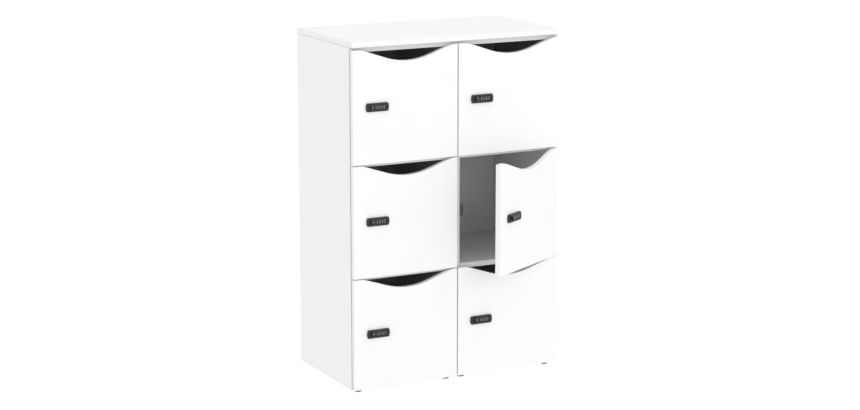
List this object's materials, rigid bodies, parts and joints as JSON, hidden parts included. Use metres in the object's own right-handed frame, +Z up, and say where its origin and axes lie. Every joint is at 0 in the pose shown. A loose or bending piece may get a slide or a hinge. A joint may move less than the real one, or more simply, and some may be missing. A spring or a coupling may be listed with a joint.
{
  "type": "parcel locker",
  "caption": "Free-standing white board locker with hinged compartment doors, each with a wave-shaped mail slot in its top edge and a combination cam lock.",
  "frame": {"origin": "on the floor, below the middle of the box around the locker at rest, with its one door ajar", "axes": "+Z up, fronts of the doors towards -Y, +X to the right seen from the front"},
  "size_m": [0.8, 0.636, 1.21],
  "materials": {
    "white_board": "white melamine-faced chipboard, satin, with edge banding",
    "lock_plastic": "black moulded plastic, fine texture",
    "knob_plastic": "black moulded plastic, smooth",
    "dial_plastic": "black moulded number wheel with white digits",
    "nickel_steel": "nickel-plated pressed steel",
    "dark_steel": "dark grey powder coat",
    "foot_plastic": "dark moulded plastic"
  },
  "bodies": {
    "carcass": {"cover_top": "white_board", "left_module_sides": "white_board", "right_module_sides": "white_board", "end_boards": "white_board", "shelves": "white_board", "back_panels": "white_board", "hinge_arms": "nickel_steel", "lock_strikes": "dark_steel", "system_screws": "nickel_steel", "cover_screws": "nickel_steel", "module_connectors": "nickel_steel", "glide_feet": "foot_plastic"},
    "left_bottom_leaf": {"left_bottom_door": "white_board", "left_bottom_hinge_cups": "nickel_steel", "left_bottom_lock_case": "lock_plastic"},
    "left_bottom_handle": {"left_bottom_lock_knob": "knob_plastic"},
    "left_bottom_wheel_1": {"left_bottom_dial_1": "dial_plastic"},
    "left_bottom_wheel_2": {"left_bottom_dial_2": "dial_plastic"},
    "left_bottom_wheel_3": {"left_bottom_dial_3": "dial_plastic"},
    "left_bottom_wheel_4": {"left_bottom_dial_4": "dial_plastic"},
    "left_middle_leaf": {"left_middle_door": "white_board", "left_middle_hinge_cups": "nickel_steel", "left_middle_lock_case": "lock_plastic"},
    "left_middle_handle": {"left_middle_lock_knob": "knob_plastic"},
    "left_middle_wheel_1": {"left_middle_dial_1": "dial_plastic"},
    "left_middle_wheel_2": {"left_middle_dial_2": "dial_plastic"},
    "left_middle_wheel_3": {"left_middle_dial_3": "dial_plastic"},
    "left_middle_wheel_4": {"left_middle_dial_4": "dial_plastic"},
    "left_top_leaf": {"left_top_door": "white_board", "left_top_hinge_cups": "nickel_steel", "left_top_lock_case": "lock_plastic"},
    "left_top_handle": {"left_top_lock_knob": "knob_plastic"},
    "left_top_wheel_1": {"left_top_dial_1": "dial_plastic"},
    "left_top_wheel_2": {"left_top_dial_2": "dial_plastic"},
    "left_top_wheel_3": {"left_top_dial_3": "dial_plastic"},
    "left_top_wheel_4": {"left_top_dial_4": "dial_plastic"},
    "right_bottom_leaf": {"right_bottom_door": "white_board", "right_bottom_hinge_cups": "nickel_steel", "right_bottom_lock_case": "lock_plastic"},
    "right_bottom_handle": {"right_bottom_lock_knob": "knob_plastic"},
    "right_bottom_wheel_1": {"right_bottom_dial_1": "dial_plastic"},
    "right_bottom_wheel_2": {"right_bottom_dial_2": "dial_plastic"},
    "right_bottom_wheel_3": {"right_bottom_dial_3": "dial_plastic"},
    "right_bottom_wheel_4": {"right_bottom_dial_4": "dial_plastic"},
    "right_middle_leaf": {"right_middle_door": "white_board", "right_middle_hinge_cups": "nickel_steel", "right_middle_lock_case": "lock_plastic"},
    "right_middle_handle": {"right_middle_lock_knob": "knob_plastic"},
    "right_middle_wheel_1": {"right_middle_dial_1": "dial_plastic"},
    "right_middle_wheel_2": {"right_middle_dial_2": "dial_plastic"},
    "right_middle_wheel_3": {"right_middle_dial_3": "dial_plastic"},
    "right_middle_wheel_4": {"right_middle_dial_4": "dial_plastic"},
    "right_top_leaf": {"right_top_door": "white_board", "right_top_hinge_cups": "nickel_steel", "right_top_lock_case": "lock_plastic"},
    "right_top_handle": {"right_top_lock_knob": "knob_plastic"},
    "right_top_wheel_1": {"right_top_dial_1": "dial_plastic"},
    "right_top_wheel_2": {"right_top_dial_2": "dial_plastic"},
    "right_top_wheel_3": {"right_top_dial_3": "dial_plastic"},
    "right_top_wheel_4": {"right_top_dial_4": "dial_plastic"}
  },
  "joints": [
    {"name": "left_bottom_door_hinge", "type": "hinge", "parent": "carcass", "child": "left_bottom_leaf", "pos_m": [-0.005, -0.11895, 0.206], "axis": [0, 0, 1], "range_deg": [0, 100]},
    {"name": "left_bottom_knob_turn", "type": "hinge", "parent": "left_bottom_leaf", "child": "left_bottom_handle", "pos_m": [-0.3335, -0.12195, 0.206], "axis": [0, 1, 0], "range_deg": [0, 90]},
    {"name": "left_bottom_dial_1_turn", "type": "hinge", "parent": "left_bottom_leaf", "child": "left_bottom_wheel_1", "pos_m": [-0.312, -0.12355, 0.206], "axis": [1, 0, 0], "continuous": true},
    {"name": "left_bottom_dial_2_turn", "type": "hinge", "parent": "left_bottom_leaf", "child": "left_bottom_wheel_2", "pos_m": [-0.303, -0.12355, 0.206], "axis": [1, 0, 0], "continuous": true},
    {"name": "left_bottom_dial_3_turn", "type": "hinge", "parent": "left_bottom_leaf", "child": "left_bottom_wheel_3", "pos_m": [-0.294, -0.12355, 0.206], "axis": [1, 0, 0], "continuous": true},
    {"name": "left_bottom_dial_4_turn", "type": "hinge", "parent": "left_bottom_leaf", "child": "left_bottom_wheel_4", "pos_m": [-0.285, -0.12355, 0.206], "axis": [1, 0, 0], "continuous": true},
    {"name": "left_middle_door_hinge", "type": "hinge", "parent": "carcass", "child": "left_middle_leaf", "pos_m": [-0.005, -0.11895, 0.597], "axis": [0, 0, 1], "range_deg": [0, 100]},
    {"name": "left_middle_knob_turn", "type": "hinge", "parent": "left_middle_leaf", "child": "left_middle_handle", "pos_m": [-0.3335, -0.12195, 0.597], "axis": [0, 1, 0], "range_deg": [0, 90]},
    {"name": "left_middle_dial_1_turn", "type": "hinge", "parent": "left_middle_leaf", "child": "left_middle_wheel_1", "pos_m": [-0.312, -0.12355, 0.597], "axis": [1, 0, 0], "continuous": true},
    {"name": "left_middle_dial_2_turn", "type": "hinge", "parent": "left_middle_leaf", "child": "left_middle_wheel_2", "pos_m": [-0.303, -0.12355, 0.597], "axis": [1, 0, 0], "continuous": true},
    {"name": "left_middle_dial_3_turn", "type": "hinge", "parent": "left_middle_leaf", "child": "left_middle_wheel_3", "pos_m": [-0.294, -0.12355, 0.597], "axis": [1, 0, 0], "continuous": true},
    {"name": "left_middle_dial_4_turn", "type": "hinge", "parent": "left_middle_leaf", "child": "left_middle_wheel_4", "pos_m": [-0.285, -0.12355, 0.597], "axis": [1, 0, 0], "continuous": true},
    {"name": "left_top_door_hinge", "type": "hinge", "parent": "carcass", "child": "left_top_leaf", "pos_m": [-0.005, -0.11895, 0.988], "axis": [0, 0, 1], "range_deg": [0, 100]},
    {"name": "left_top_knob_turn", "type": "hinge", "parent": "left_top_leaf", "child": "left_top_handle", "pos_m": [-0.3335, -0.12195, 0.988], "axis": [0, 1, 0], "range_deg": [0, 90]},
    {"name": "left_top_dial_1_turn", "type": "hinge", "parent": "left_top_leaf", "child": "left_top_wheel_1", "pos_m": [-0.312, -0.12355, 0.988], "axis": [1, 0, 0], "continuous": true},
    {"name": "left_top_dial_2_turn", "type": "hinge", "parent": "left_top_leaf", "child": "left_top_wheel_2", "pos_m": [-0.303, -0.12355, 0.988], "axis": [1, 0, 0], "continuous": true},
    {"name": "left_top_dial_3_turn", "type": "hinge", "parent": "left_top_leaf", "child": "left_top_wheel_3", "pos_m": [-0.294, -0.12355, 0.988], "axis": [1, 0, 0], "continuous": true},
    {"name": "left_top_dial_4_turn", "type": "hinge", "parent": "left_top_leaf", "child": "left_top_wheel_4", "pos_m": [-0.285, -0.12355, 0.988], "axis": [1, 0, 0], "continuous": true},
    {"name": "right_bottom_door_hinge", "type": "hinge", "parent": "carcass", "child": "right_bottom_leaf", "pos_m": [0.395, -0.11895, 0.206], "axis": [0, 0, 1], "range_deg": [0, 100]},
    {"name": "right_bottom_knob_turn", "type": "hinge", "parent": "right_bottom_leaf", "child": "right_bottom_handle", "pos_m": [0.0665, -0.12195, 0.206], "axis": [0, 1, 0], "range_deg": [0, 90]},
    {"name": "right_bottom_dial_1_turn", "type": "hinge", "parent": "right_bottom_leaf", "child": "right_bottom_wheel_1", "pos_m": [0.088, -0.12355, 0.206], "axis": [1, 0, 0], "continuous": true},
    {"name": "right_bottom_dial_2_turn", "type": "hinge", "parent": "right_bottom_leaf", "child": "right_bottom_wheel_2", "pos_m": [0.097, -0.12355, 0.206], "axis": [1, 0, 0], "continuous": true},
    {"name": "right_bottom_dial_3_turn", "type": "hinge", "parent": "right_bottom_leaf", "child": "right_bottom_wheel_3", "pos_m": [0.106, -0.12355, 0.206], "axis": [1, 0, 0], "continuous": true},
    {"name": "right_bottom_dial_4_turn", "type": "hinge", "parent": "right_bottom_leaf", "child": "right_bottom_wheel_4", "pos_m": [0.115, -0.12355, 0.206], "axis": [1, 0, 0], "continuous": true},
    {"name": "right_middle_door_hinge", "type": "hinge", "parent": "carcass", "child": "right_middle_leaf", "pos_m": [0.395, -0.11895, 0.597], "axis": [0, 0, 1], "range_deg": [-30, 70]},
    {"name": "right_middle_knob_turn", "type": "hinge", "parent": "right_middle_leaf", "child": "right_middle_handle", "pos_m": [0.11201, -0.2858, 0.597], "axis": [-0.5, 0.866, 0], "range_deg": [0, 90]},
    {"name": "right_middle_dial_1_turn", "type": "hinge", "parent": "right_middle_leaf", "child": "right_middle_wheel_1", "pos_m": [0.13143, -0.27643, 0.597], "axis": [0.866, 0.5, 0], "continuous": true},
    {"name": "right_middle_dial_2_turn", "type": "hinge", "parent": "right_middle_leaf", "child": "right_middle_wheel_2", "pos_m": [0.13922, -0.27193, 0.597], "axis": [0.866, 0.5, 0], "continuous": true},
    {"name": "right_middle_dial_3_turn", "type": "hinge", "parent": "right_middle_leaf", "child": "right_middle_wheel_3", "pos_m": [0.14702, -0.26743, 0.597], "axis": [0.866, 0.5, 0], "continuous": true},
    {"name": "right_middle_dial_4_turn", "type": "hinge", "parent": "right_middle_leaf", "child": "right_middle_wheel_4", "pos_m": [0.15481, -0.26293, 0.597], "axis": [0.866, 0.5, 0], "continuous": true},
    {"name": "right_top_door_hinge", "type": "hinge", "parent": "carcass", "child": "right_top_leaf", "pos_m": [0.395, -0.11895, 0.988], "axis": [0, 0, 1], "range_deg": [0, 100]},
    {"name": "right_top_knob_turn", "type": "hinge", "parent": "right_top_leaf", "child": "right_top_handle", "pos_m": [0.0665, -0.12195, 0.988], "axis": [0, 1, 0], "range_deg": [0, 90]},
    {"name": "right_top_dial_1_turn", "type": "hinge", "parent": "right_top_leaf", "child": "right_top_wheel_1", "pos_m": [0.088, -0.12355, 0.988], "axis": [1, 0, 0], "continuous": true},
    {"name": "right_top_dial_2_turn", "type": "hinge", "parent": "right_top_leaf", "child": "right_top_wheel_2", "pos_m": [0.097, -0.12355, 0.988], "axis": [1, 0, 0], "continuous": true},
    {"name": "right_top_dial_3_turn", "type": "hinge", "parent": "right_top_leaf", "child": "right_top_wheel_3", "pos_m": [0.106, -0.12355, 0.988], "axis": [1, 0, 0], "continuous": true},
    {"name": "right_top_dial_4_turn", "type": "hinge", "parent": "right_top_leaf", "child": "right_top_wheel_4", "pos_m": [0.115, -0.12355, 0.988], "axis": [1, 0, 0], "continuous": true}
  ]
}
